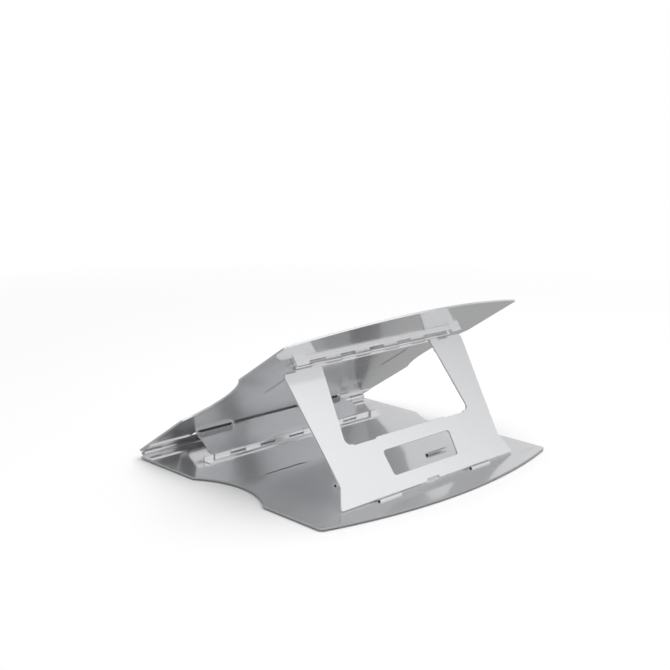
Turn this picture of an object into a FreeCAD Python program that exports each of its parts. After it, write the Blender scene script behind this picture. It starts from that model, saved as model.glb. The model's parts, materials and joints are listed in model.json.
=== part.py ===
# Folding sheet-metal laptop stand: base plate, tilting top plate, U-shaped support strut and
# a front stop flap, joined by three piano hinges.
#
# Row frame: millimetres, +Z up, +Y towards the back edge, X across the width, origin on the
# table under the middle of the stand's outline. Three working frames are used below:
#   base frame   origin on the base plate's upper face, below the front hinge axis
#   top frame    origin on the front hinge axis, Y along the top plate, Z out of its upper face
#   hinge frame  origin on a hinge axis, X along the axis
import FreeCAD, Part
import Sketcher
import os

Vector = FreeCAD.Vector
Rotation = FreeCAD.Rotation
Placement = FreeCAD.Placement

X_AXIS = Vector(1, 0, 0)
Y_AXIS = Vector(0, 1, 0)
ORIGIN = Vector(0, 0, 0)

doc = FreeCAD.newDocument("LaptopStand")

# ---------------------------------------------------------------- driving dimensions

SIZES = {
    # plates, which share one outline
    "width": 270.0,
    "side_depth": 209.4,
    "back_bulge": 19.3,
    "plate": 1.5,
    "front_lip": 1.5,
    "scallop_middle": 109.0,
    "scallop_chord": 82.0,
    "scallop_depth": 15.0,
    "back_corner": 4.0,
    "front_corner": 2.0,
    "scallop_corner": 3.0,
    # stack and rest angles
    "foot_height": 1.2,
    "half_gap": 2.35,
    "tilt": 34.06,
    "flap_angle": 19.0,
    "centre_from_hinge": 112.65,
    # hinges
    "knuckle_gap": 0.3,
    "running": 0.05,
    "edge_clear": 0.3,
    "front_half": 133.0,
    "front_count": 15,
    "front_tube": 1.9,
    "front_pin": 0.9,
    "front_leaf": 0.9,
    "front_leaf_reach": 12.0,
    "front_leaf_notch": 4.2,
    "small_tube": 1.5,
    "small_pin": 0.7,
    "small_leaf": 0.75,
    "small_leaf_reach": 10.0,
    "small_count": 11,
    "flap_half": 93.0,
    "strut_half": 91.3,
    "flap_axis_back": 42.8,
    "strut_axis_along": 163.4,
    "strut_axis_drop": 3.1,
    "pin_head": 0.6,
    "pin_head_ratio": 1.45,
    "web_overlap": 0.1,
    # stand-off ears on the ends of the two small hinges
    "ear_height": 4.4,
    "ear_thick": 1.2,
    "leaf_lip": 2.0,
    "base_ear_inner": 95.5,
    "base_ear_outer": 105.0,
    "top_ear_inner": 84.5,
    "top_ear_outer": 97.0,
    # support strut, measured down from its hinge axis
    "strut_length": 111.69,
    "strut_rib_wide": 0.9,
    "strut_tab_setback": 2.0,
    "strut_foot_half": 103.8,
    "strut_waist_half": 95.0,
    "strut_waist_up": 17.0,
    "strut_top_half": 104.8,
    "strut_gap_floor": 44.8,
    "strut_gap_floor_half": 73.9,
    "strut_gap_top_half": 64.0,
    "strut_relief_inner": 41.0,
    "strut_relief_outer": 66.0,
    "strut_relief_deep": 1.2,
    "window_floor": 12.4,
    "window_top": 33.2,
    "window_floor_half": 38.4,
    "window_top_half": 40.1,
    "foot_notch_half": 7.3,
    "foot_notch_up": 2.0,
    "foot_tip_corner": 1.5,
    "foot_notch_corner": 0.8,
    "window_corner": 3.0,
    "waist_corner": 6.0,
    "leg_gap_corner": 5.0,
    "relief_corner": 0.5,
    "leg_top_corner": 4.0,
    "leg_inner_corner": 1.0,
    # stop flap, measured from its hinge axis
    "flap_root_half": 93.0,
    "flap_tip_half": 87.0,
    "flap_reach": 30.3,
    "lobe_reach": 39.5,
    "lobe_inner": 46.0,
    "lobe_corner": 4.0,
    "lobe_root_corner": 2.0,
    "flap_root_corner": 1.0,
    "stop_pad": 0.8,
    "pad_margin": 0.9,
    "pad_corner": 3.0,
    # slots in the top plate that the stop lobes come through
    "lobe_slot_inner": 45.0,
    "lobe_slot_outer": 89.0,
    "lobe_slot_front": 4.6,
    "lobe_slot_back": 22.2,
    "lobe_slot_corner": 4.0,
    "leaf_slot_clear": 1.0,
    # foot stops pressed out of the base plate
    "ridge_last": 201.4,
    "ridge_pitch": 22.5,
    "ridge_rows": 3,
    "ridge_radius": 2.2,
    "ridge_bore": 1.3,
    "ridge_inner": 43.0,
    "ridge_outer": 66.5,
    # shallow creases beside the back corners
    "mark_inner": 108.0,
    "mark_outer": 130.0,
    "mark_back": 203.6,
    "mark_width": 0.6,
    "mark_deep": 0.4,
    # lanced slits
    "base_slit_back": 100.5,
    "base_slit_inner": 46.0,
    "base_slit_outer": 88.0,
    "top_slit_side": 68.5,
    "top_slit_front": 96.0,
    "top_slit_back": 135.0,
    "slit_width": 1.0,
    "slit_lip": 0.7,
    "slit_eye": 1.4,
    "lip_setback": 2.0,
    # lengths by which cutting tools pass the faces they cut, and a window for finding corners
    "tool_spare": 1.0,
    "hollow_spare": 0.2,
    "corner_find": 0.5,
    # soft parts
    "foot_radius": 7.0,
    "foot_chamfer": 0.3,
    "foot_side": 112.0,
    "foot_front": 30.0,
    "foot_back": 196.0,
    "grip_long": 46.0,
    "grip_wide": 9.0,
    "grip_thick": 0.8,
    "grip_corner": 4.0,
    "grip_side": 92.0,
    "grip_front": 46.0,
    "grip_back": 196.0,
}

sheet = doc.addObject("Spreadsheet::Sheet", "Sizes")
for row, (alias, value) in enumerate(SIZES.items(), start=1):
    sheet.set("A%d" % row, alias)
    sheet.set("B%d" % row, str(value))
    sheet.setAlias("B%d" % row, alias)
doc.recompute()


def size(alias):
    """Value of one cell of the spreadsheet, in millimetres or degrees."""
    return float(sheet.get(alias))


# ---------------------------------------------------------------- expression-bound primitives

def bound(expression):
    """Expression in which each spreadsheet alias is written as a reference to its cell."""
    words = []
    for word in str(expression).replace("(", " ( ").replace(")", " ) ").split():
        words.append("Sizes." + word if word in SIZES else word)
    return " ".join(words)


def bind(obj, **properties):
    """Bind properties of a document object to expressions."""
    for name, expression in properties.items():
        obj.setExpression(name.replace("__", "."), bound(expression))
    return obj


def put_at(obj, x, y, z):
    return bind(obj, Placement__Base__x=x, Placement__Base__y=y, Placement__Base__z=z)


def box(name, x_span, y_span, z_span):
    """Box between pairs of expressions along each axis."""
    obj = doc.addObject("Part::Box", name)
    spans = (x_span, y_span, z_span)
    for side, (low, high) in zip(("Length", "Width", "Height"), spans):
        bind(obj, **{side: "( %s ) - ( %s )" % (high, low)})
    return put_at(obj, x_span[0], y_span[0], z_span[0])


def rod(name, radius, x_span, y="0", z="0"):
    """Cylinder along X."""
    obj = doc.addObject("Part::Cylinder", name)
    obj.Placement = Placement(ORIGIN, Rotation(Y_AXIS, 90))
    bind(obj, Radius=radius, Height="( %s ) - ( %s )" % (x_span[1], x_span[0]))
    return put_at(obj, x_span[0], y, z)


def disc(name, radius, x, y, z_span):
    """Cylinder along Z."""
    obj = doc.addObject("Part::Cylinder", name)
    bind(obj, Radius=radius, Height="( %s ) - ( %s )" % (z_span[1], z_span[0]))
    return put_at(obj, x, y, z_span[0])


def trapezoid(name, y_span, near_half, far_half, z_span):
    """Plate symmetric in X whose half width changes evenly along Y."""
    obj = doc.addObject("Part::Wedge", name)
    bind(obj, Ymin=y_span[0], Ymax=y_span[1])
    bind(obj, Xmin="-1 * ( %s )" % near_half, Xmax=near_half)
    bind(obj, X2min="-1 * ( %s )" % far_half, X2max=far_half)
    bind(obj, Zmin=z_span[0], Zmax=z_span[1], Z2min=z_span[0], Z2max=z_span[1])
    return obj


def fuse(name, shapes):
    obj = doc.addObject("Part::MultiFuse", name)
    obj.Shapes = shapes
    obj.Refine = True
    return obj


def cut(name, base, tools):
    tool = tools[0] if len(tools) == 1 else fuse(name + "_tools", tools)
    obj = doc.addObject("Part::Cut", name)
    obj.Base = base
    obj.Tool = tool
    obj.Refine = True
    return obj


def common(name, first, second):
    obj = doc.addObject("Part::Common", name)
    obj.Base = first
    obj.Tool = second
    obj.Refine = True
    return obj


def round_corners(name, base, radius_at):
    """Fillet the edges along Z; radius_at(x, y) gives a radius, or None to leave the edge."""
    doc.recompute()
    picked = []
    for number, edge in enumerate(base.Shape.Edges, start=1):
        ends = [vertex.Point for vertex in edge.Vertexes]
        if len(ends) != 2 or (ends[1] - ends[0]).cross(Vector(0, 0, 1)).Length > 1e-6:
            continue
        radius = radius_at(ends[0].x, ends[0].y)
        if radius:
            picked.append((number, radius, radius))
    obj = doc.addObject("Part::Fillet", name)
    obj.Base = base
    obj.Edges = picked
    return obj


def both_sides(make, name):
    """Make a left and a right copy; the sign is written into the expressions."""
    return [make(name + "_left", "-1"), make(name + "_right", "1")]


def side_span(sign, inner, outer):
    """Span in X between two distances from the middle, on one side of it."""
    low, high = (inner, outer) if sign == "1" else (outer, inner)
    return "%s * ( %s )" % (sign, low), "%s * ( %s )" % (sign, high)


# ---------------------------------------------------------------- rest frames

BASE_FRAME = Placement(Vector(0, -size("centre_from_hinge"), size("foot_height") + size("plate")),
                       Rotation())
TOP_FRAME = BASE_FRAME * Placement(Vector(0, 0, size("half_gap")), Rotation(X_AXIS, size("tilt")))
STRUT_RISE = size("half_gap") - size("strut_axis_drop")
STRUT_FRAME = TOP_FRAME * Placement(Vector(0, size("strut_axis_along"), STRUT_RISE), Rotation())
FLAP_ROOT = BASE_FRAME * Placement(Vector(0, size("flap_axis_back"), size("half_gap")), Rotation())
FLAP_FRAME = FLAP_ROOT * Placement(ORIGIN, Rotation(X_AXIS, -size("flap_angle")))
FRONT_FRAME = BASE_FRAME * Placement(Vector(0, 0, size("half_gap")), Rotation())
STRUT_PLANE = STRUT_FRAME * Placement(ORIGIN, Rotation(X_AXIS, -90))

nodes = []


def finish_node(obj, label, frame):
    """Name a finished sub-part and set it in its rest frame."""
    obj.Label = label
    obj.Placement = frame.multiply(obj.Placement)
    nodes.append(obj)
    return obj


# ---------------------------------------------------------------- plates

def plate_outline(name, z_span):
    """Sheet with a straight front, an arched back and a round scallop in each side."""
    blank = box(name + "_blank", ("-1 * width / 2", "width / 2"),
                ("-1 * front_lip", "side_depth + 2 * back_bulge"), z_span)
    arc = "( width * width / 4 + back_bulge * back_bulge ) / ( 2 * back_bulge )"
    back = disc(name + "_back_arc", arc, "0", "side_depth + back_bulge - " + arc, z_span)
    arched = common(name + "_arched", blank, back)
    bite = ("( scallop_chord * scallop_chord / 4 + scallop_depth * scallop_depth )"
            " / ( 2 * scallop_depth )")

    def scallop(part, sign):
        x = "%s * ( width / 2 - scallop_depth + %s )" % (sign, bite)
        return disc(part, bite, x, "scallop_middle", z_span)

    outline = cut(name + "_outline", arched, both_sides(scallop, name + "_scallop"))

    def corner_radius(x, y):
        if y < 0:
            return size("front_corner")
        at_back = y > size("side_depth") - size("tool_spare")
        return size("back_corner") if at_back else size("scallop_corner")

    return round_corners(name + "_rounded", outline, corner_radius)


def base_slit(name, sign):
    """Thin cut with a round eye at its inner end."""
    slit = box(name, side_span(sign, "base_slit_inner", "base_slit_outer"),
               ("base_slit_back", "base_slit_back + slit_width"), ("-2 * plate", "plate"))
    eye = disc(name + "_eye", "slit_eye", "%s * base_slit_inner" % sign,
               "base_slit_back + slit_width / 2", ("-2 * plate", "plate"))
    return fuse(name + "_cut", [slit, eye])


def base_lip(name, sign):
    """Edge of the slit pressed up a little above the plate."""
    span = side_span(sign, "base_slit_inner + lip_setback", "base_slit_outer")
    return box(name, span, ("base_slit_back - slit_lip", "base_slit_back"),
               ("-1 * plate", "slit_lip"))


def ridge(name, sign, back):
    """Half-round foot stop pressed up out of the plate, open at both ends."""
    span = side_span(sign, "ridge_inner", "ridge_outer")
    bar = rod(name + "_bar", "ridge_radius", span, y=back)
    wide = side_span(sign, "ridge_inner - tool_spare", "ridge_outer + tool_spare")
    above = box(name + "_above", wide,
                ("%s - 2 * ridge_radius" % back, "%s + 2 * ridge_radius" % back),
                ("-0.5 * plate", "2 * ridge_radius"))
    return common(name, bar, above)


def ridge_hollow(name, sign, back):
    """The space under a foot stop, open to the plate's lower face."""
    span = side_span(sign, "ridge_inner - hollow_spare", "ridge_outer + hollow_spare")
    arch = rod(name + "_arch", "ridge_bore", span, y=back)
    below = box(name + "_below", span, ("%s - ridge_bore" % back, "%s + ridge_bore" % back),
                ("-2 * plate", "0"))
    return fuse(name, [arch, below])


def corner_mark(name, sign):
    """Shallow crease beside a back corner."""
    return box(name, side_span(sign, "mark_inner", "mark_outer"),
               ("mark_back", "mark_back + mark_width"), ("-1 * mark_deep", "plate"))


ridge_places = []
for row in range(int(size("ridge_rows"))):
    for sign in ("-1", "1"):
        side = "left" if sign == "-1" else "right"
        ridge_places.append(("ridge_%d_%s" % (row, side), sign,
                             "ridge_last - %d * ridge_pitch" % row))

base_cuts = both_sides(base_slit, "base_slit") + both_sides(corner_mark, "corner_mark")
base_adds = both_sides(base_lip, "base_lip")
hollows = []
for name, sign, back in ridge_places:
    hollows.append(ridge_hollow(name + "_hollow", sign, back))
    base_adds.append(ridge(name, sign, back))
base_plate = cut("base_cut", plate_outline("base", ("-1 * plate", "0")), base_cuts)
base_plate = fuse("base_pressed", [base_plate] + base_adds)
base_plate = cut("base_plate_body", base_plate, hollows)
finish_node(base_plate, "base_plate", BASE_FRAME)


def lobe_slot(name, sign):
    """Slot that a stop lobe comes through."""
    hole = box(name + "_box", side_span(sign, "lobe_slot_inner", "lobe_slot_outer"),
               ("lobe_slot_front", "lobe_slot_back"), ("half_gap - plate", "half_gap + 2 * plate"))
    return round_corners(name, hole, lambda x, y: size("lobe_slot_corner"))


def top_slit(name, sign):
    """Slit along the depth of the plate with round eyes at its ends."""
    z_span = ("half_gap - plate", "half_gap + 2 * plate")
    x = "%s * top_slit_side" % sign
    slit = box(name, side_span(sign, "top_slit_side - slit_width / 2", "top_slit_side + slit_width / 2"),
               ("top_slit_front", "top_slit_back"), z_span)
    eyes = [disc("%s_eye%d" % (name, n), "slit_eye", x, y, z_span)
            for n, y in enumerate(("top_slit_front", "top_slit_back"))]
    return fuse(name + "_cut", [slit] + eyes)


def top_lip(name, sign):
    """Outer edge of the slit pressed down a little below the plate."""
    inner = "top_slit_side + slit_width / 2"
    return box(name, side_span(sign, inner, inner + " + slit_lip"),
               ("top_slit_front + lip_setback", "top_slit_back - lip_setback"),
               ("half_gap - slit_lip", "half_gap + plate"))


top_cuts = both_sides(lobe_slot, "lobe_slot") + both_sides(top_slit, "top_slit")
top_plate = cut("top_cut", plate_outline("top", ("half_gap", "half_gap + plate")), top_cuts)
top_plate = fuse("top_plate_body", [top_plate] + both_sides(top_lip, "top_lip"))
finish_node(top_plate, "top_plate", TOP_FRAME)


# ---------------------------------------------------------------- hinges

def knuckled_leaf(label, frame, half, count, own, tube, bore, strips, webs, extras=()):
    """Hinge leaf in the hinge frame: fixed strips plus its own share of the knuckles.

    own is the first knuckle, and every second one follows. A web is a pair of spans in Y and Z
    that joins each own knuckle to its strip.
    """
    pitch = "( 2 * %s / %s )" % (half, count)
    pieces = list(strips) + list(extras)
    for number in range(own, int(size(count)), 2):
        start = "-1 * %s + %d * %s + knuckle_gap / 2" % (half, number, pitch)
        stop = "-1 * %s + %d * %s - knuckle_gap / 2" % (half, number + 1, pitch)
        pieces.append(rod("%s_knuckle%d" % (label, number), tube, (start, stop)))
        for web_number, (y_span, z_span) in enumerate(webs):
            name = "%s_web%d_%d" % (label, number, web_number)
            pieces.append(box(name, (start, stop), y_span, z_span))
    solid = fuse(label + "_solid", pieces)
    hole = rod(label + "_bore", bore, ("-1 * %s - tool_spare" % half, "%s + tool_spare" % half))
    return finish_node(cut(label + "_bored", solid, [hole]), label, frame)


def origin_plane(body, role):
    for feature in body.Origin.OriginFeatures:
        if feature.Role == role:
            return feature
    raise ValueError("no plane " + role)


def round_sketch(body, name, radius, plane="YZ_Plane"):
    """Circle about the body's origin, about the X axis unless another plane is named."""
    sketch = body.newObject("Sketcher::SketchObject", name)
    sketch.AttachmentSupport = (origin_plane(body, plane), [""])
    sketch.MapMode = "FlatFace"
    sketch.addGeometry(Part.Circle(ORIGIN, Vector(0, 0, 1), 1.0), False)
    sketch.addConstraint(Sketcher.Constraint("Coincident", 0, 3, -1, 1))
    sketch.addConstraint(Sketcher.Constraint("Radius", 0, 1.0))
    sketch.setExpression("Constraints[1]", bound(radius))
    return sketch


def hinge_pin(label, frame, half, radius):
    """Plain pin with a flat head on each end, outside the last knuckles."""
    body = doc.addObject("PartDesign::Body", label + "_body")
    shaft_length = "2 * ( %s ) + 2 * knuckle_gap" % half
    shaft = body.newObject("PartDesign::Pad", label + "_shaft_pad")
    shaft.Profile = round_sketch(body, label + "_shaft", radius)
    shaft.Midplane = True
    bind(shaft, Length=shaft_length + " + 2 * pin_head")
    for end, offset_sign in (("left", "-1"), ("right", "1")):
        head = round_sketch(body, label + "_head_" + end, "pin_head_ratio * " + radius)
        bind(head, AttachmentOffset__Base__z="%s * ( ( %s ) / 2 + pin_head / 2 )"
             % (offset_sign, shaft_length))
        pad = body.newObject("PartDesign::Pad", label + "_head_pad_" + end)
        pad.Profile = head
        pad.Midplane = True
        bind(pad, Length="pin_head")
    doc.recompute()
    return finish_node(body, label, frame)


def front_strip(name, z_span):
    """Front leaf strip, cut back beside the stop lobes so that they pass."""
    inner = "( lobe_slot_inner - leaf_slot_clear )"
    outer = "( lobe_slot_outer + leaf_slot_clear )"
    spans = [("middle", ("-1 * " + inner, inner), "front_leaf_reach"),
             ("left", ("-1 * front_half", "-1 * " + outer), "front_leaf_reach"),
             ("right", (outer, "front_half"), "front_leaf_reach"),
             ("narrow", ("-1 * front_half", "front_half"), "front_leaf_notch")]
    start = "front_tube + edge_clear"
    return [box(name + "_" + part, span, (start, reach), z_span) for part, span, reach in spans]


FRONT_LOW = ("-1 * half_gap", "front_leaf - half_gap")
FRONT_HIGH = ("half_gap - front_leaf", "half_gap")
FRONT_WEB = ("0", "front_tube + edge_clear + web_overlap")
knuckled_leaf("front_hinge_lower_leaf", FRONT_FRAME, "front_half", "front_count", 0, "front_tube",
              "front_pin + running", front_strip("front_low", FRONT_LOW), [(FRONT_WEB, FRONT_LOW)])
knuckled_leaf("front_hinge_upper_leaf", TOP_FRAME, "front_half", "front_count", 1, "front_tube",
              "front_pin + running", front_strip("front_high", FRONT_HIGH),
              [(FRONT_WEB, FRONT_HIGH)])
hinge_pin("front_hinge_pin", FRONT_FRAME, "front_half", "front_pin")


def base_ear(name, sign):
    """Upright stand-off at one end of the flap hinge."""
    return box(name, side_span(sign, "base_ear_inner", "base_ear_outer"),
               ("small_tube", "small_tube + ear_thick"), ("-1 * half_gap", "ear_height - half_gap"))


FLAP_FLOOR = ("-1 * half_gap", "small_leaf - half_gap")
flap_low_strip = box("flap_low_strip", ("-1 * base_ear_outer", "base_ear_outer"),
                     ("small_tube - small_leaf", "small_leaf_reach"), FLAP_FLOOR)
knuckled_leaf("flap_hinge_lower_leaf", FLAP_ROOT, "flap_half", "small_count", 0, "small_tube",
              "small_pin + running", [flap_low_strip],
              [(("small_tube - small_leaf", "small_tube"), ("-1 * half_gap", "0"))],
              both_sides(base_ear, "base_ear"))
flap_high_strip = box("flap_high_strip", ("-1 * flap_half", "flap_half"),
                      ("-1 * small_leaf_reach", "-1 * ( small_tube + edge_clear )"),
                      ("-1 * small_tube", "small_leaf - small_tube"))
knuckled_leaf("flap_hinge_upper_leaf", FLAP_FRAME, "flap_half", "small_count", 1, "small_tube",
              "small_pin + running", [flap_high_strip],
              [(("-1 * ( small_tube + edge_clear + web_overlap )", "0"),
                ("-1 * small_tube", "small_leaf - small_tube")),
               (("-1 * ( small_tube + edge_clear )", "0"), ("-1 * small_tube", "plate / 2"))])
hinge_pin("flap_hinge_pin", FLAP_ROOT, "flap_half", "small_pin")


def top_ear(name, sign):
    """Stand-off hanging from the back edge of the strut hinge's upper leaf."""
    return box(name, side_span(sign, "top_ear_inner", "top_ear_outer"),
               ("small_leaf_reach - ear_thick", "small_leaf_reach"),
               ("strut_axis_drop - ear_height", "strut_axis_drop"))


strut_high_lip = box("strut_high_lip", ("-1 * top_ear_inner", "top_ear_inner"),
                     ("small_leaf_reach - ear_thick", "small_leaf_reach"),
                     ("strut_axis_drop - leaf_lip", "strut_axis_drop"))
strut_high_strip = box("strut_high_strip", ("-1 * top_ear_outer", "top_ear_outer"),
                       ("-1 * small_tube", "small_leaf_reach"),
                       ("strut_axis_drop - small_leaf", "strut_axis_drop"))
knuckled_leaf("strut_hinge_upper_leaf", STRUT_FRAME, "strut_half", "small_count", 0, "small_tube",
              "small_pin + running", [strut_high_strip, strut_high_lip],
              [(("small_tube - small_leaf", "small_tube"), ("0", "strut_axis_drop"))],
              both_sides(top_ear, "top_ear"))


def strut_tab(name, sign):
    """Part of the leaf that laps one leg of the strut."""
    return box(name, side_span(sign, "strut_gap_top_half + strut_tab_setback", "strut_half"),
               ("small_tube + edge_clear", "small_leaf_reach + strut_tab_setback"),
               ("-1 * small_tube", "small_leaf - small_tube"))


strut_rib = box("strut_rib", ("-1 * strut_half", "strut_half"),
                ("small_tube + edge_clear", "small_tube + edge_clear + strut_rib_wide"),
                ("-1 * small_tube", "small_leaf - small_tube"))
knuckled_leaf("strut_hinge_lower_leaf", STRUT_PLANE, "strut_half", "small_count", 1, "small_tube",
              "small_pin + running", [strut_rib] + both_sides(strut_tab, "strut_tab"),
              [(("0", "small_tube + edge_clear + web_overlap"),
                ("-1 * small_tube", "small_leaf - small_tube")),
               (("0", "small_tube + edge_clear"), ("-1 * small_tube", "plate / 2"))])
hinge_pin("strut_hinge_pin", STRUT_FRAME, "strut_half", "small_pin")


# ---------------------------------------------------------------- support strut
# In its own plane: Y runs down the strut from the hinge axis, Z is its thickness.

SHEET = ("-0.5 * plate", "0.5 * plate")
THROUGH = ("-1 * plate", "plate")


def up_from_foot(distance):
    return "strut_length - ( %s )" % distance


def strut_relief(name, sign):
    """Shallow step in the lower edge of the gap between the legs."""
    return box(name, side_span(sign, "strut_relief_inner", "strut_relief_outer"),
               (up_from_foot("strut_gap_floor + tool_spare"),
                up_from_foot("strut_gap_floor - strut_relief_deep")), THROUGH)


legs = trapezoid("strut_legs", ("small_tube + edge_clear", up_from_foot("strut_waist_up")),
                 "strut_top_half", "strut_waist_half", SHEET)
flare = trapezoid("strut_flare", (up_from_foot("strut_waist_up"), "strut_length"),
                  "strut_waist_half", "strut_foot_half", SHEET)
leg_gap = trapezoid("strut_leg_gap", ("0", up_from_foot("strut_gap_floor")),
                    "strut_gap_top_half", "strut_gap_floor_half", THROUGH)
window = trapezoid("strut_window", (up_from_foot("window_top"), up_from_foot("window_floor")),
                   "window_top_half", "window_floor_half", THROUGH)
foot_notch = box("strut_foot_notch", ("-1 * foot_notch_half", "foot_notch_half"),
                 (up_from_foot("foot_notch_up"), "strut_length + tool_spare"), THROUGH)
strut_sheet = cut("strut_sheet", fuse("strut_blank", [legs, flare]),
                  [leg_gap, window, foot_notch] + both_sides(strut_relief, "strut_relief"))


def strut_corner(x, y):
    """Corner radii of the strut's outline, by how far up from the foot the corner is."""
    up = size("strut_length") - y
    across = abs(x)
    spare = size("tool_spare")
    if up < size("corner_find"):
        at_tip = across > size("window_floor_half")
        return size("foot_tip_corner") if at_tip else size("foot_notch_corner")
    if up < size("foot_notch_up") + size("corner_find"):
        return size("foot_notch_corner")
    if up < size("window_floor") - spare:
        return None
    if up < size("window_top") + spare:
        in_window = across < size("strut_relief_outer")
        return size("window_corner") if in_window else size("waist_corner")
    if up < size("strut_gap_floor") + 2 * spare:
        in_gap = across > size("strut_relief_outer") + 2 * spare
        return size("leg_gap_corner") if in_gap else size("relief_corner")
    return size("leg_top_corner") if across > size("strut_waist_half") else size("leg_inner_corner")


finish_node(round_corners("strut_rounded", strut_sheet, strut_corner), "support_strut", STRUT_PLANE)


# ---------------------------------------------------------------- stop flap
# In its hinge frame: it runs towards -Y from the hinge axis, Z is its thickness.

flap_slope = "( flap_root_half - flap_tip_half ) / flap_reach"
flap_far_half = "flap_root_half - lobe_reach * %s" % flap_slope
flap_blank = trapezoid("flap_blank", ("-1 * lobe_reach", "-1 * ( small_tube + edge_clear )"),
                       flap_far_half, "flap_root_half", SHEET)
between_lobes = box("flap_between_lobes", ("-1 * lobe_inner", "lobe_inner"),
                    ("-1 * ( lobe_reach + tool_spare )", "-1 * flap_reach"), THROUGH)
flap_sheet = cut("flap_sheet", flap_blank, [between_lobes])


def flap_corner(x, y):
    """Corner radii of the flap: lobe tips, then the edge between the lobes, then the root."""
    if y < size("corner_find") - size("lobe_reach"):
        return size("lobe_corner")
    if y < size("corner_find") - size("flap_reach"):
        return size("lobe_root_corner")
    return size("flap_root_corner")


finish_node(round_corners("flap_rounded", flap_sheet, flap_corner), "stop_flap", FLAP_FRAME)


def stop_pad(name, sign):
    """Soft strip on the face of a lobe that the laptop's front edge leans on."""
    strip = box(name + "_box",
                side_span(sign, "lobe_inner + pad_margin", "flap_tip_half - 3 * pad_margin"),
                ("-1 * ( lobe_reach - pad_margin )", "-1 * ( flap_reach + pad_margin )"),
                ("plate / 2", "plate / 2 + stop_pad"))
    return round_corners(name, strip, lambda x, y: size("pad_corner"))


for pad in both_sides(stop_pad, "stop_pad"):
    finish_node(pad, pad.Name, FLAP_FRAME)


# ---------------------------------------------------------------- feet and grip strips

def rubber_foot(label, frame, x, y):
    """Round rubber foot, padded from a sketch, with a chamfered rim on its free face."""
    body = doc.addObject("PartDesign::Body", label + "_body")
    pad = body.newObject("PartDesign::Pad", label + "_pad")
    pad.Profile = round_sketch(body, label + "_sketch", "foot_radius", "XY_Plane")
    bind(pad, Length="foot_height")
    doc.recompute()
    lower_rim = [n for n, edge in enumerate(pad.Shape.Edges, start=1)
                 if edge.BoundBox.ZMax < 1e-6][0]
    chamfer = body.newObject("PartDesign::Chamfer", label + "_chamfer")
    chamfer.Base = (pad, ["Edge%d" % lower_rim])
    bind(chamfer, Size="foot_chamfer")
    body.Placement = Placement(Vector(x, y, -size("plate") - size("foot_height")), Rotation())
    return finish_node(body, label, frame)


for side, sign in (("left", -1), ("right", 1)):
    for place in ("front", "back"):
        rubber_foot("foot_%s_%s" % (place, side), BASE_FRAME, sign * size("foot_side"),
                    size("foot_" + place))


def grip(name, sign, place):
    """Soft strip on the top plate's upper face."""
    middle = "%s * grip_side" % sign
    strip = box(name + "_box", (middle + " - grip_long / 2", middle + " + grip_long / 2"),
                ("%s - grip_wide / 2" % place, "%s + grip_wide / 2" % place),
                ("half_gap + plate", "half_gap + plate + grip_thick"))
    return round_corners(name, strip, lambda x, y: size("grip_corner"))


for side, sign in (("left", "-1"), ("right", "1")):
    for place in ("front", "back"):
        label = "grip_%s_%s" % (place, side)
        finish_node(grip(label, sign, "grip_" + place), label, TOP_FRAME)


# ---------------------------------------------------------------- check and write

doc.recompute()
for obj in doc.Objects:
    if "Invalid" in obj.State or "Error" in obj.State:
        raise RuntimeError("%s is %s" % (obj.Name, obj.State))
for node in nodes:
    if node.Shape.isNull() or not node.Shape.isValid():
        raise RuntimeError("bad shape: " + node.Label)

os.makedirs("parts", exist_ok=True)
whole = FreeCAD.BoundBox()
for node in nodes:
    node.Shape.exportStep(os.path.join("parts", node.Label + ".step"))
    whole.add(node.Shape.BoundBox)
    print("%-26s solids %d  volume %9.1f mm3"
          % (node.Label, len(node.Shape.Solids), node.Shape.Volume))
print("box %.2f..%.2f  %.2f..%.2f  %.2f..%.2f"
      % (whole.XMin, whole.XMax, whole.YMin, whole.YMax, whole.ZMin, whole.ZMax))
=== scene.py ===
"""Looks of the folding sheet-metal laptop stand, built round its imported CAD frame.

Every metal piece is shown by a refined copy of its CAD node, with its sharp edges broken by
a small bevel. The rubber feet, grip strips and stop pads are built new, to the size of their
CAD nodes. All lengths are in metres, in the frame that the CAD model and this scene share.
The front of the stand is towards -Y, and its right side is towards +X.
"""

import json
import math

import bmesh
import bpy
from mathutils import Matrix, Vector


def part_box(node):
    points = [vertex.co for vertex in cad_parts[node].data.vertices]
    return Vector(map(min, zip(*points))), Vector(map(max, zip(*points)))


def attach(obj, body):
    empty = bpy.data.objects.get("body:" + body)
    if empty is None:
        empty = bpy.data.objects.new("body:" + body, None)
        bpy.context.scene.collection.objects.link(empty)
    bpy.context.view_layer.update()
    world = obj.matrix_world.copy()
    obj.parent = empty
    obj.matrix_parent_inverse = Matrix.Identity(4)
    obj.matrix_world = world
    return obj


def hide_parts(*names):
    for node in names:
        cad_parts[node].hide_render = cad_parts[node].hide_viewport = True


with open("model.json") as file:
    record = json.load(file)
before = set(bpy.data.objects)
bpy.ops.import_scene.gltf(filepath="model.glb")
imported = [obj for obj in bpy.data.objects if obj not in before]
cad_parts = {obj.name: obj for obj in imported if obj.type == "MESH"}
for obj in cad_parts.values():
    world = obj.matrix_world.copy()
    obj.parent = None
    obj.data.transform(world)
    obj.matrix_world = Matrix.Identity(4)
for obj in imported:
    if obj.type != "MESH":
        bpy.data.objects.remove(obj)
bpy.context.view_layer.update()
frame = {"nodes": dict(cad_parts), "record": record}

MM = 0.001

SLOT_OF = {entry["node"]: entry["material_slot"] for entry in frame["record"]["subparts"]}
BODY_OF = {
    node: body
    for body, members in frame["record"]["behaviour"]["bodies"].items()
    for node in members
}


# ---------------------------------------------------------------- shader building blocks

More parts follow.
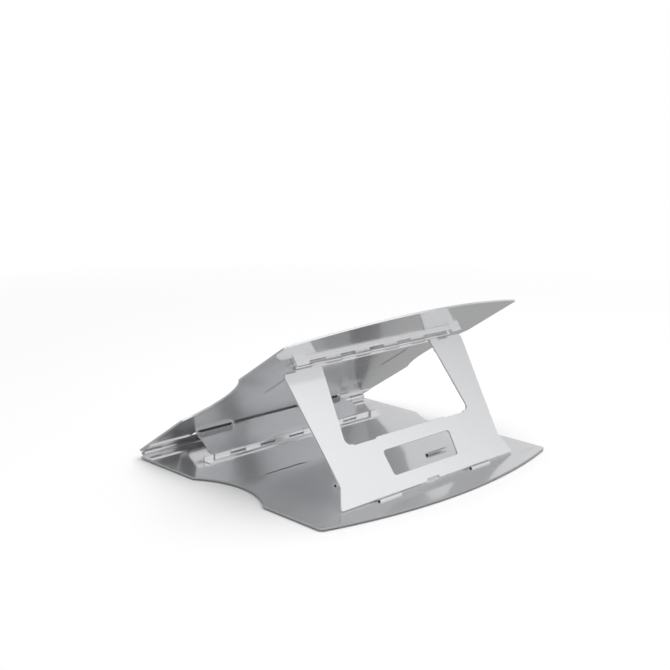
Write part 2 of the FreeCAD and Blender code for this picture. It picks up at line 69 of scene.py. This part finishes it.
class Nodes:
    """A node tree whose nodes are added from left to right."""

    def __init__(self, tree):
        self.tree = tree

    def join(self, node, inputs):
        """Link or set the inputs of a node, each by its name or number."""
        for socket, value in inputs.items():
            if isinstance(value, bpy.types.NodeSocket):
                self.tree.links.new(value, node.inputs[socket])
            else:
                node.inputs[socket].default_value = value
        return node

    def add(self, kind, inputs=None, **settings):
        """Add a node, set its properties, and join its inputs."""
        node = self.tree.nodes.new(kind)
        for key, value in settings.items():
            setattr(node, key, value)
        return self.join(node, inputs or {})

    def remap(self, value, band, result=(0.0, 1.0)):
        """Value mapped from the band to the range of the result, and held inside that range."""
        names = ("From Min", "From Max", "To Min", "To Max")
        inputs = dict(zip(names, (*band, *result)))
        return self.add("ShaderNodeMapRange", {"Value": value, **inputs}).outputs["Result"]

    def math(self, operation, first, second):
        return self.add("ShaderNodeMath", {0: first, 1: second}, operation=operation).outputs[0]


class Shader(Nodes):
    """A surface material, built round its principled shader."""

    def __init__(self, name):
        self.material = bpy.data.materials.new(name)
        self.material.use_nodes = True
        super().__init__(self.material.node_tree)
        self.surface = self.tree.nodes["Principled BSDF"]
        self.position = self.add("ShaderNodeTexCoord").outputs["Object"]

    def finish(self, **inputs):
        """Join the inputs of the surface shader, with _ for a space in their names."""
        self.join(self.surface, {name.replace("_", " "): value for name, value in inputs.items()})
        return self.material

    def stretched(self, scale, turn=0.0):
        """Object position scaled by a different amount along each axis, then turned about Z."""
        inputs = {"Vector": self.position, "Scale": scale, "Rotation": (0.0, 0.0, turn)}
        return self.add("ShaderNodeMapping", inputs).outputs["Vector"]

    def noise(self, vector, scale, detail, roughness):
        inputs = {"Vector": vector, "Scale": scale, "Detail": detail, "Roughness": roughness}
        return self.add("ShaderNodeTexNoise", inputs).outputs["Fac"]

    def blend(self, factor, first, second):
        """Mix of two colours."""
        node = self.add("ShaderNodeMix", {"Factor": factor}, data_type="RGBA")
        for socket, colour in (("A", first), ("B", second)):
            place = [s for s in node.inputs if s.name == socket and s.type == "RGBA"][0]
            place.default_value = (*colour, 1.0)
        return [s for s in node.outputs if s.type == "RGBA"][0]

    def bump(self, height, strength, distance, under=None):
        """Normal raised by a height, on top of an earlier bump if one is given."""
        inputs = {"Height": height, "Strength": strength, "Distance": distance}
        if under is not None:
            inputs["Normal"] = under
        return self.add("ShaderNodeBump", inputs).outputs["Normal"]


# ---------------------------------------------------------------- metal

METALNESS = 0.87
# scale of the grain and of the hairlines along each axis: both are long in X and fine across it
GRAIN_STRETCH = (180.0, 1300.0, 1300.0)
HAIR_STRETCH = (2.0, 130.0, 130.0)
# the turn in radians and the noise scale of each set of hairlines. The turn comes after the
# stretch, so it changes where the lines fall and leaves their direction alone
HAIR_SETS = ((0.5, 31.0), (-0.9, 23.0))
HAIR_PATCH_SCALE = 17.0
# the part of each noise over which what it draws comes in
GRAIN_TONE_BAND = (0.3, 0.7)
GRAIN_HAZE_BAND = (0.50, 0.60)
SMUDGE_BAND = (0.50, 0.72)
HAIR_BAND = (0.72, 0.76)
HAIR_PATCH_BAND = (0.5, 0.6)
# handling marks add this share of the lower of the metal's two roughnesses
SMUDGE = 0.15
WAVE_HEIGHT = 2.0 * MM
GRAIN_HEIGHT = 0.04 * MM
HAIR_DEPTH = 0.02 * MM


def hairlines(shader):
    """Fine straight scratches along X, which come and go in patches."""
    sets = []
    for turn, scale in HAIR_SETS:
        strands = shader.noise(
            shader.stretched(HAIR_STRETCH, turn), scale=scale, detail=2.0, roughness=0.5
        )
        patches = shader.noise(
            shader.position, scale=HAIR_PATCH_SCALE + scale, detail=1.0, roughness=0.5
        )
        line = shader.remap(strands, HAIR_BAND)
        sets.append(shader.math("MULTIPLY", line, shader.remap(patches, HAIR_PATCH_BAND)))
    return shader.math("MAXIMUM", *sets)


def metal(name, bright, dull, rough, haze, grain, wave, scratch):
    """Bare sheet metal: rolled grain, slow waviness, handling marks and hairline scratches.

    The valleys of the grain have the dull colour and the roughness called rough. Its crests
    have the bright colour and the roughness called haze. grain, wave and scratch are the
    strengths of the three reliefs, and scratch is also what a hairline adds to the roughness.
    """
    shader = Shader(name)
    rolled = shader.noise(shader.stretched(GRAIN_STRETCH), scale=9.0, detail=4.0, roughness=0.6)
    waves = shader.noise(shader.position, scale=11.0, detail=1.5, roughness=0.4)
    marks = shader.noise(shader.position, scale=26.0, detail=5.0, roughness=0.62)
    smudge = shader.remap(marks, SMUDGE_BAND)
    hair = hairlines(shader)
    tone = shader.blend(shader.remap(rolled, GRAIN_TONE_BAND), dull, bright)
    level = shader.remap(rolled, GRAIN_HAZE_BAND, (rough, haze))
    level = shader.math("ADD", level, shader.math("MULTIPLY", smudge, rough * SMUDGE))
    level = shader.math("ADD", level, shader.math("MULTIPLY", hair, scratch))
    normal = shader.bump(waves, wave, WAVE_HEIGHT)
    normal = shader.bump(rolled, grain, GRAIN_HEIGHT, normal)
    normal = shader.bump(hair, scratch, -HAIR_DEPTH, normal)
    return shader.finish(Base_Color=tone, Metallic=METALNESS, Roughness=level, Normal=normal)


ALUMINIUM = metal(
    "sheet_aluminium",
    bright=(0.88, 0.884, 0.892),
    dull=(0.85, 0.856, 0.867),
    rough=0.09, haze=0.30, grain=0.05, wave=0.03, scratch=0.06,
)
CUT_EDGE = metal(
    "cut_edge",
    bright=(0.62, 0.625, 0.63),
    dull=(0.50, 0.505, 0.51),
    rough=0.26, haze=0.40, grain=0.30, wave=0.05, scratch=0.15,
)
HINGE_STEEL = metal(
    "hinge_steel",
    bright=(0.95, 0.95, 0.955),
    dull=(0.90, 0.90, 0.91),
    rough=0.10, haze=0.24, grain=0.10, wave=0.04, scratch=0.12,
)
PIN_STEEL = metal(
    "pin_steel",
    bright=(0.74, 0.73, 0.72),
    dull=(0.60, 0.595, 0.59),
    rough=0.20, haze=0.34, grain=0.30, wave=0.03, scratch=0.10,
)


# ---------------------------------------------------------------- rubber

DUST_BAND = (0.45, 0.75)
DULL_BAND, DULL_ROUGHNESS = (0.3, 0.7), (0.55, 0.8)
PORE_STRENGTH, PORE_DEPTH = 0.35, 0.05 * MM


def rubber(name, colour, worn):
    """Moulded rubber: fine pores, and patches of dust in the worn colour."""
    shader = Shader(name)
    pores = shader.noise(shader.position, scale=1600.0, detail=3.0, roughness=0.6)
    dust = shader.noise(shader.position, scale=140.0, detail=4.0, roughness=0.6)
    tone = shader.blend(shader.remap(dust, DUST_BAND), colour, worn)
    level = shader.remap(dust, DULL_BAND, DULL_ROUGHNESS)
    normal = shader.bump(pores, PORE_STRENGTH, PORE_DEPTH)
    return shader.finish(Base_Color=tone, Roughness=level, Normal=normal, Metallic=0.0)


RUBBER = rubber("rubber", colour=(0.018, 0.018, 0.019), worn=(0.045, 0.044, 0.043))

# the materials of a slot: that of the faces, then that of the broken and sheared edges
FINISH = {
    "sheet_aluminium": (ALUMINIUM, CUT_EDGE),
    "hinge_steel": (HINGE_STEEL, CUT_EDGE),
    "pin_steel": (PIN_STEEL, PIN_STEEL),
    "rubber": (RUBBER, RUBBER),
}


# ---------------------------------------------------------------- metal pieces

# facets that meet below the first angle are one flat face, and above the second a sharp edge
FLAT_ANGLE = math.radians(0.6)
EDGE_ANGLE = math.radians(38.0)
WELD_DISTANCE = 0.002 * MM
# a face is a sheared wall of the sheet if it stands across the sheet and within its thickness
SHEET_THICK = 1.5 * MM
WALL_LEAN, WALL_SPARE = 0.3, 0.02 * MM

# width of the bevel on the plates, strut and flap, and on the hinge leaves and pins
SHEETS = ("base_plate", "top_plate", "support_strut", "stop_flap")
SHEET_EDGE = 0.18 * MM
LEAF_EDGE = 0.10 * MM


def show(node, name, mesh):
    """Put a finished mesh in place of a CAD node, on the same body and with the same slot."""
    mesh.materials.clear()
    for material in FINISH[SLOT_OF[node]]:
        mesh.materials.append(material)
    for face in mesh.polygons:
        face.use_smooth = True
    mesh.set_sharp_from_angle(angle=EDGE_ANGLE)
    piece = bpy.data.objects.new(name, mesh)
    bpy.context.scene.collection.objects.link(piece)
    piece.modifiers.new("flat_faces", "WEIGHTED_NORMAL").keep_sharp = True
    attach(piece, BODY_OF[node])
    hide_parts(node)


def refined(node, edge):
    """Show a copy of a CAD node with its sharp edges broken by a bevel of width edge.

    The bevels and the sheared walls of the sheet have the finish of a cut edge.
    """
    mesh = frame["nodes"][node].data.copy()
    work = bmesh.new()
    work.from_mesh(mesh)
    bmesh.ops.remove_doubles(work, verts=work.verts, dist=WELD_DISTANCE)
    bmesh.ops.dissolve_limit(
        work,
        angle_limit=FLAT_ANGLE,
        verts=work.verts,
        edges=work.edges,
        use_dissolve_boundaries=False,
    )
    sharp = [e for e in work.edges if len(e.link_faces) == 2 and e.calc_face_angle() > EDGE_ANGLE]
    bmesh.ops.bevel(
        work,
        geom=sharp,
        offset=edge,
        offset_type="OFFSET",
        segments=2,
        profile=0.5,
        affect="EDGES",
        clamp_overlap=True,
        material=1,
    )
    flat = max(work.faces, key=lambda face: face.calc_area())
    outward, level = flat.normal.copy(), flat.calc_center_median()
    for face in work.faces:
        depth = (level - face.calc_center_median()).dot(outward)
        across = abs(face.normal.dot(outward)) < WALL_LEAN
        if across and -WALL_SPARE < depth < SHEET_THICK + WALL_SPARE:
            face.material_index = 1
    work.to_mesh(mesh)
    work.free()
    show(node, node + "_shell", mesh)


# ---------------------------------------------------------------- rubber pieces

CORNER_STEPS, LONG_STEPS, RIB_STEPS = 8, 24, 8
GRIP_CORNER, PAD_CORNER = 4.0 * MM, 3.0 * MM
STRIP_RIM = 0.35 * MM
GRIP_RIBS, PAD_RIBS = 6, 5
GRIP_RIB_DEPTH, PAD_RIB_DEPTH = 0.28 * MM, 0.20 * MM

FOOT_STEPS = 64
# share of the radius and of the height, from the middle of the lower face to the upper face
FOOT_PROFILE = (
    (0.0, 0.22), (0.26, 0.22), (0.32, 0.0), (0.50, 0.0), (0.55, 0.22), (0.62, 0.22), (0.67, 0.0),
    (0.86, 0.0), (0.95, 0.07), (1.0, 0.25), (1.0, 1.0), (0.0, 1.0),
)


def soft_strip(node, corner, rim, ribs, rib_depth):
    """Moulded rubber strip: round corners, a rolled rim, and ribs along its length.

    The strip lies in a slanted plane, so it is built along its own three axes.
    """
    source = frame["nodes"][node].data
    up = max(source.polygons, key=lambda face: face.area).normal.copy()
    if up.z < 0:
        up.negate()
    across = Vector((1, 0, 0))
    axes = (across, up.cross(across), up)
    low = [min(v.co.dot(axis) for v in source.vertices) for axis in axes]
    high = [max(v.co.dot(axis) for v in source.vertices) for axis in axes]
    length, width = high[0] - low[0], high[1] - low[1]

    arc = [corner * (1 - math.cos(math.pi / 2 * n / CORNER_STEPS)) for n in range(CORNER_STEPS)]
    middle = [corner + (length - 2 * corner) * n / LONG_STEPS for n in range(LONG_STEPS + 1)]
    columns = arc + middle + [length - d for d in reversed(arc)]
    rows = ribs * RIB_STEPS

    def point(x, fraction):
        """Place on the strip's top, at x from its end and at a fraction of its width there."""
        end = min(x, length - x)
        inset = corner - math.sqrt(corner ** 2 - max(0.0, corner - end) ** 2)
        y = inset + (width - 2 * inset) * fraction
        edge = min(1.0, min(end, y - inset, width - inset - y) / rim)
        drop = rim * (1 - math.sqrt(1 - (1 - edge) ** 2))
        groove = rib_depth * edge * (0.5 - 0.5 * math.cos(2 * math.pi * ribs * y / width))
        height = high[2] - drop - groove
        return axes[0] * (low[0] + x) + axes[1] * (low[1] + y) + axes[2] * height

    work = bmesh.new()
    grid = [[work.verts.new(point(x, row / rows)) for row in range(rows + 1)] for x in columns]
    for left, right in zip(grid, grid[1:]):
        for row in range(rows):
            work.faces.new((left[row], right[row], right[row + 1], left[row + 1]))
    rim_edges = [e for e in work.edges if len(e.link_faces) == 1]
    wall = bmesh.ops.extrude_edge_only(work, edges=rim_edges)["geom"]
    for vertex in (v for v in wall if isinstance(v, bmesh.types.BMVert)):
        vertex.co += axes[2] * (low[2] - vertex.co.dot(axes[2]))
    under = [e for e in wall if isinstance(e, bmesh.types.BMEdge) and len(e.link_faces) == 1]
    bmesh.ops.edgeloop_fill(work, edges=under)
    bmesh.ops.recalc_face_normals(work, faces=work.faces)
    mesh = bpy.data.meshes.new(node + "_moulded")
    work.to_mesh(mesh)
    work.free()
    show(node, node + "_moulded", mesh)


def turned_foot(node):
    """Round rubber foot turned from a profile, with ring grooves in the face on the table."""
    low, high = (Vector(corner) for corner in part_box(node))
    middle, radius, height = (low + high) / 2, (high.x - low.x) / 2, high.z - low.z
    turns = [2 * math.pi * n / FOOT_STEPS for n in range(FOOT_STEPS)]
    work = bmesh.new()
    rings = []
    for out, rise in FOOT_PROFILE:
        reach, z = out * radius, low.z + rise * height
        if out == 0.0:
            rings.append([work.verts.new((middle.x, middle.y, z))] * FOOT_STEPS)
            continue
        places = [(middle.x + reach * math.cos(t), middle.y + reach * math.sin(t), z) for t in turns]
        rings.append([work.verts.new(place) for place in places])
    for inner, outer in zip(rings, rings[1:]):
        for n in range(FOOT_STEPS):
            corners = [inner[n], inner[n - 1], outer[n - 1], outer[n]]
            # two corners are the same where a ring is a single point, so the face is a triangle
            work.faces.new(list(dict.fromkeys(corners)))
    bmesh.ops.recalc_face_normals(work, faces=work.faces)
    mesh = bpy.data.meshes.new(node + "_turned")
    work.to_mesh(mesh)
    work.free()
    show(node, node + "_turned", mesh)


for node in frame["nodes"]:
    if node.startswith("foot_"):
        turned_foot(node)
    elif node.startswith("grip_"):
        soft_strip(node, GRIP_CORNER, STRIP_RIM, GRIP_RIBS, GRIP_RIB_DEPTH)
    elif node.startswith("stop_pad_"):
        soft_strip(node, PAD_CORNER, STRIP_RIM, PAD_RIBS, PAD_RIB_DEPTH)
    else:
        refined(node, SHEET_EDGE if node in SHEETS else LEAF_EDGE)


# ---------------------------------------------------------------- floor

FLOOR_RADIUS = 6.0
FLOOR_SIDES = 96
FLOOR_BELOW = 0.05 * MM
# tone of the floor as the camera sees it, and as the metal reflects it
FLOOR_WHITE, FLOOR_MIRRORED = 0.93, 0.34
SKY_WHITE = 1.0
# distances from the middle between which the floor turns white, for any ray and for the camera's
FADE_BAND = (0.9, 2.6)
SEEN_FADE_BAND = (0.25, 1.1)


def grey(value):
    return (value, value, value)


def round_floor():
    """Pale floor that fades into the background away from the object."""
    bpy.ops.mesh.primitive_circle_add(
        vertices=FLOOR_SIDES,
        radius=FLOOR_RADIUS,
        fill_type="NGON",
        location=(0.0, 0.0, -FLOOR_BELOW),
    )
    floor = bpy.context.active_object
    floor.name = "floor"
    shader = Shader("pale_floor")
    length = shader.add("ShaderNodeVectorMath", {0: shader.position}, operation="LENGTH")
    distance = length.outputs["Value"]
    seen = shader.add("ShaderNodeLightPath").outputs["Is Camera Ray"]
    seen_far = shader.math("MULTIPLY", shader.remap(distance, SEEN_FADE_BAND), seen)
    far = shader.math("MAXIMUM", shader.remap(distance, FADE_BAND), seen_far)
    glow = shader.add("ShaderNodeEmission", {"Color": (*grey(SKY_WHITE), 1.0), "Strength": 1.0})
    surfaces = {0: far, 1: shader.surface.outputs[0], 2: glow.outputs[0]}
    mix = shader.add("ShaderNodeMixShader", surfaces)
    shader.join(shader.tree.nodes["Material Output"], {"Surface": mix.outputs[0]})
    tone = shader.blend(seen, grey(FLOOR_MIRRORED), grey(FLOOR_WHITE))
    floor.data.materials.append(shader.finish(Base_Color=tone, Roughness=0.9))


# ---------------------------------------------------------------- light

# tone of the room by the upward part of a direction: 0 at and below the horizon, 1 overhead
ROOM_RAMP = ((0.0, 0.46), (0.22, 0.66), (0.30, 0.73), (0.42, 0.74), (0.55, 0.80), (1.0, 0.74))
ROOM_BLUE = 1.01
# a dark flag high on the front left: its direction, then how near to it light fades, and to what
FLAG_TOWARD = (-0.74, -0.48, 0.48)
FLAG_BAND, FLAG_LIGHT = (0.80, 1.0), (1.0, 0.15)
# a large bright window behind the stand, in the same terms
WINDOW_TOWARD = (-0.20, 0.945, 0.259)
WINDOW_BAND, WINDOW_LIGHT = (0.64, 0.76), (0.75, 1.25)
# the least light in low directions, by their upward part, whatever the flag does there
LOW_BAND, LOW_LIGHT = (0.32, 0.50), (1.0, 0.0)


def studio_world():
    """White to the camera. The stand is lit by a soft room with a window and a dark flag."""
    world = bpy.data.worlds.new("studio")
    bpy.context.scene.world = world
    world.use_nodes = True
    nodes = Nodes(world.node_tree)
    toward = nodes.add("ShaderNodeTexCoord").outputs["Generated"]
    rise = nodes.add("ShaderNodeSeparateXYZ", {0: toward}).outputs["Z"]
    ramp = nodes.add("ShaderNodeValToRGB", {"Fac": rise})
    elements = ramp.color_ramp.elements
    # the new stops are put in their places by the loop below
    while len(elements) < len(ROOM_RAMP):
        elements.new(0.5)
    for element, (place, value) in zip(elements, ROOM_RAMP):
        element.position = place
        element.color = (value, value, value * ROOM_BLUE, 1.0)

    def nearness(direction):
        """Cosine of the angle between a ray and a direction."""
        inputs = {0: toward, 1: Vector(direction).normalized()}
        return nodes.add("ShaderNodeVectorMath", inputs, operation="DOT_PRODUCT").outputs["Value"]

    flag = nodes.remap(nearness(FLAG_TOWARD), FLAG_BAND, FLAG_LIGHT)
    window = nodes.remap(nearness(WINDOW_TOWARD), WINDOW_BAND, WINDOW_LIGHT)
    upper = nodes.math("MULTIPLY", flag, window)
    strength = nodes.math("MAXIMUM", upper, nodes.remap(rise, LOW_BAND, LOW_LIGHT))
    room = nodes.tree.nodes["Background"]
    nodes.join(room, {"Color": ramp.outputs["Color"], "Strength": strength})
    backdrop = nodes.add("ShaderNodeBackground", {"Color": (*grey(SKY_WHITE), 1.0)})
    seen = nodes.add("ShaderNodeLightPath").outputs["Is Camera Ray"]
    mix = nodes.add("ShaderNodeMixShader", {0: seen, 1: room.outputs[0], 2: backdrop.outputs[0]})
    nodes.join(nodes.tree.nodes["World Output"], {"Surface": mix.outputs[0]})


def softbox(name, place, size, power, mirrored):
    """Rectangular area light aimed at the origin, the middle of the stand's footprint.

    The metal reflects it only if it is mirrored.
    """
    data = bpy.data.lights.new(name, "AREA")
    data.shape = "RECTANGLE"
    data.size, data.size_y = size
    data.energy = power
    light = bpy.data.objects.new(name, data)
    bpy.context.scene.collection.objects.link(light)
    light.location = place
    light.rotation_euler = (-Vector(place)).to_track_quat("-Z", "Y").to_euler()
    light.visible_glossy = mirrored


# ---------------------------------------------------------------- camera

CLIP_NEAR, CLIP_FAR = 0.01, 50.0
# solved from the stand's own outline: angles in degrees, heading from +Y towards +X
CAMERA_PLACE = (0.6460, 0.6002, 0.2979)
CAMERA_HEADING, CAMERA_PITCH, CAMERA_ROLL = 223.277, -13.425, 0.42
CAMERA_SHIFT = (0.0769, 0.0287)
# in millimetres, as the camera's own settings are
LENS, SENSOR = 59.49, 36.0


def photo_camera():
    """Camera behind the stand, looking down on its right back corner."""
    angles = (CAMERA_HEADING, CAMERA_PITCH, CAMERA_ROLL)
    heading, pitch, roll = (math.radians(angle) for angle in angles)
    level = math.cos(pitch)
    forward = Vector((math.sin(heading) * level, math.cos(heading) * level, math.sin(pitch)))
    right = forward.cross(Vector((0, 0, 1))).normalized()
    up = right.cross(forward)
    side = math.cos(roll) * right + math.sin(roll) * up
    top = math.cos(roll) * up - math.sin(roll) * right
    data = bpy.data.cameras.new("camera")
    data.lens, data.sensor_width = LENS, SENSOR
    data.shift_x, data.shift_y = CAMERA_SHIFT
    data.clip_start, data.clip_end = CLIP_NEAR, CLIP_FAR
    camera = bpy.data.objects.new("camera", data)
    bpy.context.scene.collection.objects.link(camera)
    turn = Matrix((side, top, -forward)).transposed()
    camera.matrix_world = Matrix.Translation(CAMERA_PLACE) @ turn.to_4x4()
    bpy.context.scene.camera = camera


round_floor()
studio_world()
softbox("overhead", place=(-0.3, 0.2, 1.6), size=(1.6, 1.6), power=18.5, mirrored=False)
softbox("side", place=(1.5, 0.5, 0.9), size=(1.2, 1.0), power=1.5, mirrored=True)
photo_camera()
bpy.context.scene.view_settings.view_transform = "Standard"
